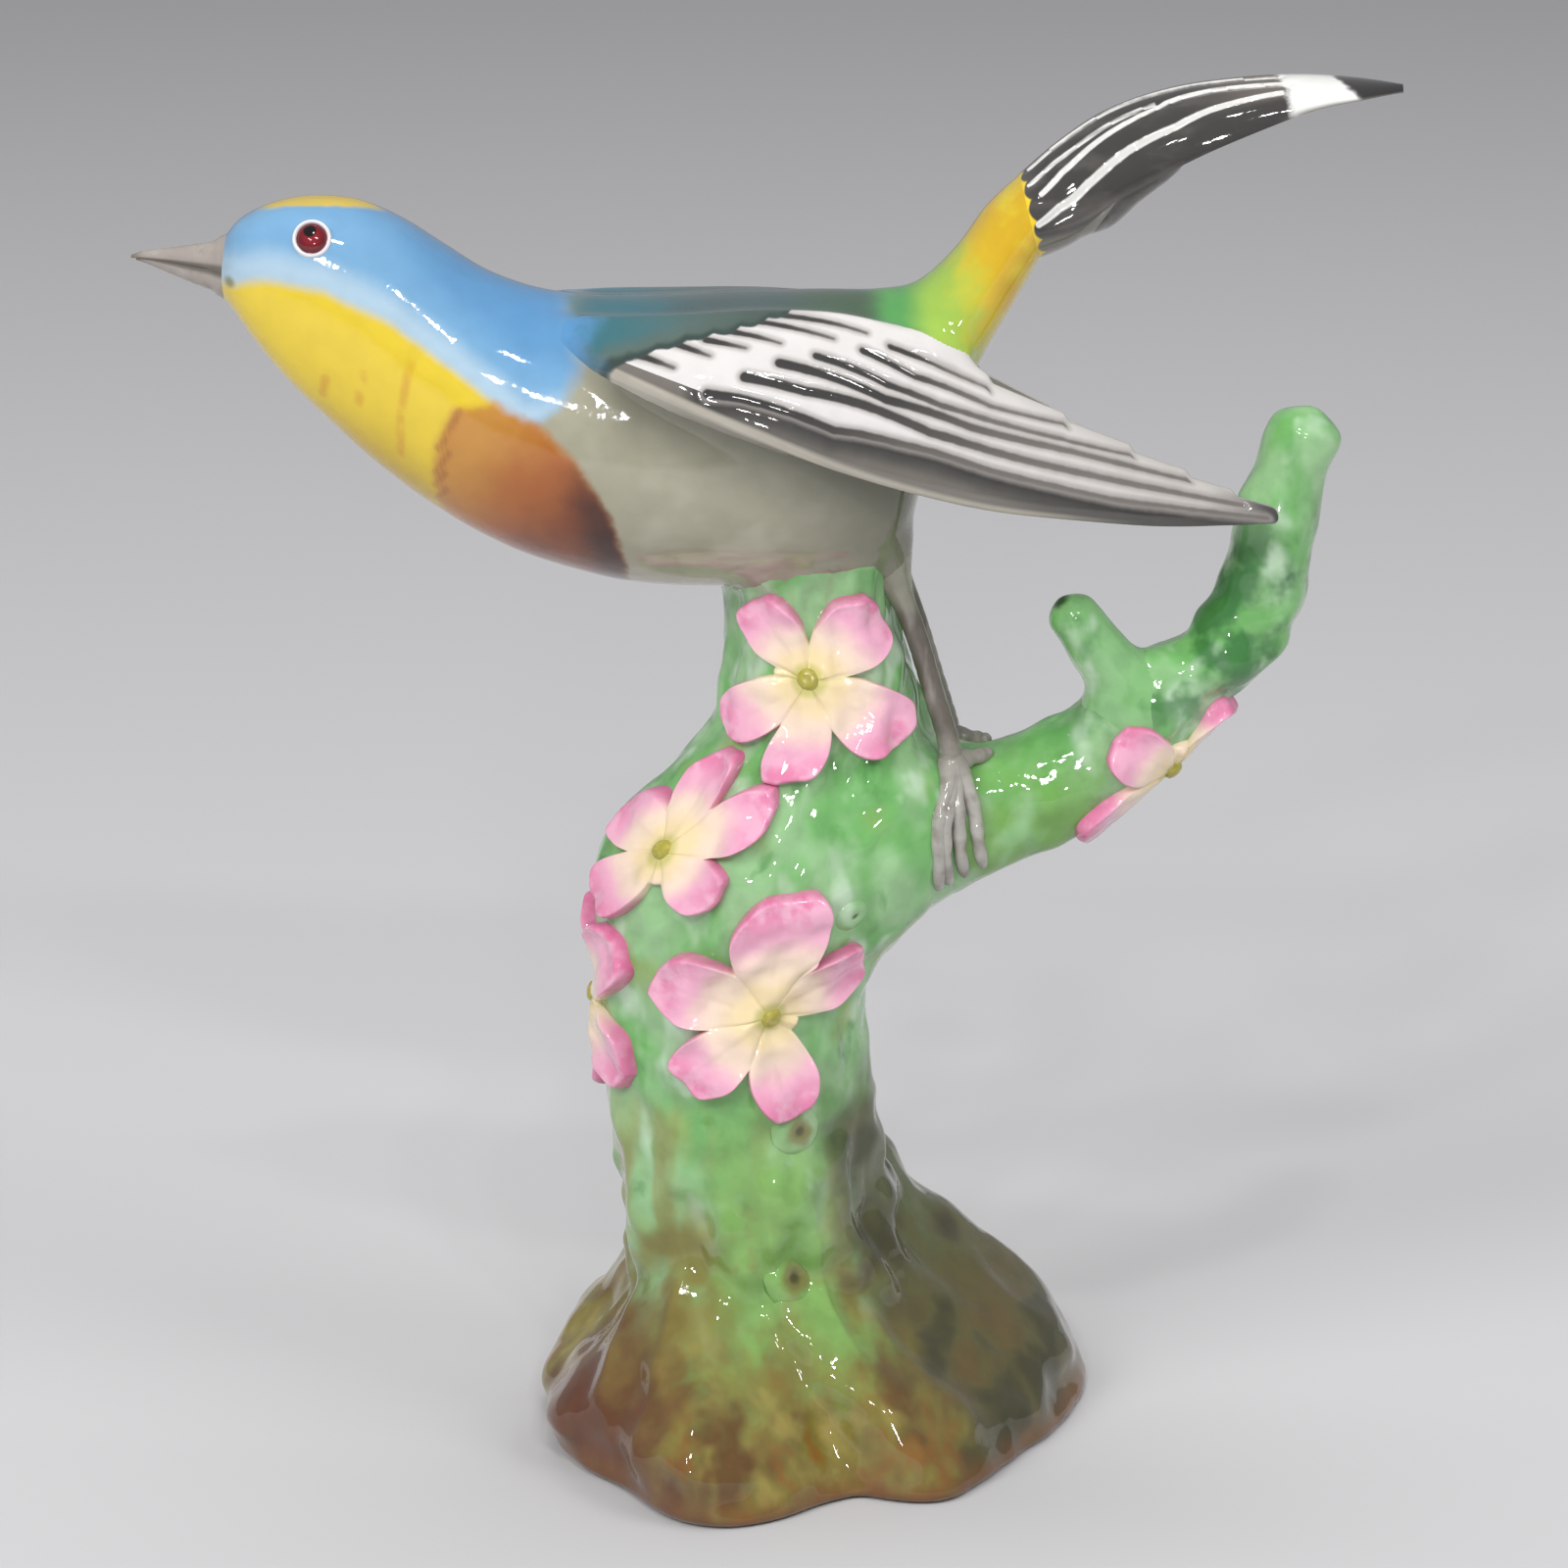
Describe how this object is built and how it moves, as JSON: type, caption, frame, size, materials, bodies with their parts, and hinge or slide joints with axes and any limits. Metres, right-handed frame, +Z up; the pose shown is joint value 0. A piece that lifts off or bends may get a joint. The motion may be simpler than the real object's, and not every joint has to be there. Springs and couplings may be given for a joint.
{
  "type": "porcelain bird figurine",
  "caption": "Glazed porcelain songbird with half-spread wings and a raised tail, perched on a tree stump with a side branch and applied blossoms, on a flat foot.",
  "frame": {"origin": "on the flat foot of the base, at the middle of the round base as cast, where the figurine rests", "axes": "+Z up; +X from the bill to the tail; the bird's left side faces -Y"},
  "size_m": [0.156, 0.0709, 0.1789],
  "materials": {
    "base_glaze": "clear gloss glaze over brown and olive underglaze painting",
    "bark_glaze": "clear gloss glaze over green underglaze painting",
    "plumage_glaze": "clear gloss glaze over painted blue, yellow, russet and grey plumage",
    "horn_glaze": "clear gloss glaze over grey painting",
    "eye_glaze": "clear gloss glaze over a dark red iris with a white ring",
    "wing_glaze": "clear gloss glaze over white with grey feather lines",
    "tail_glaze": "clear gloss glaze over dark grey with white feather lines",
    "petal_glaze": "clear gloss glaze over pink shading to cream",
    "pellet_glaze": "clear gloss glaze over olive yellow"
  },
  "bodies": {
    "root": {"base_mound": "base_glaze", "stump_trunk": "bark_glaze", "trunk_knots": "bark_glaze", "branch": "bark_glaze", "twig": "bark_glaze", "bird_body": "plumage_glaze", "bird_head": "plumage_glaze", "upper_mandible": "horn_glaze", "lower_mandible": "horn_glaze", "eye_left": "eye_glaze", "eye_right": "eye_glaze", "wing_left": "wing_glaze", "wing_right": "wing_glaze", "tail_fan": "tail_glaze", "undertail_feathers": "wing_glaze", "leg_left": "horn_glaze", "leg_right": "horn_glaze", "foot_left": "horn_glaze", "foot_right": "horn_glaze", "top_blossom_petals": "petal_glaze", "top_blossom_centre": "pellet_glaze", "front_blossom_petals": "petal_glaze", "front_blossom_centre": "pellet_glaze", "shoulder_blossom_petals": "petal_glaze", "shoulder_blossom_centre": "pellet_glaze", "side_blossom_petals": "petal_glaze", "side_blossom_centre": "pellet_glaze", "back_blossom_petals": "petal_glaze", "back_blossom_centre": "pellet_glaze", "branch_blossom_petals": "petal_glaze", "branch_blossom_centre": "pellet_glaze"}
  },
  "joints": []
}
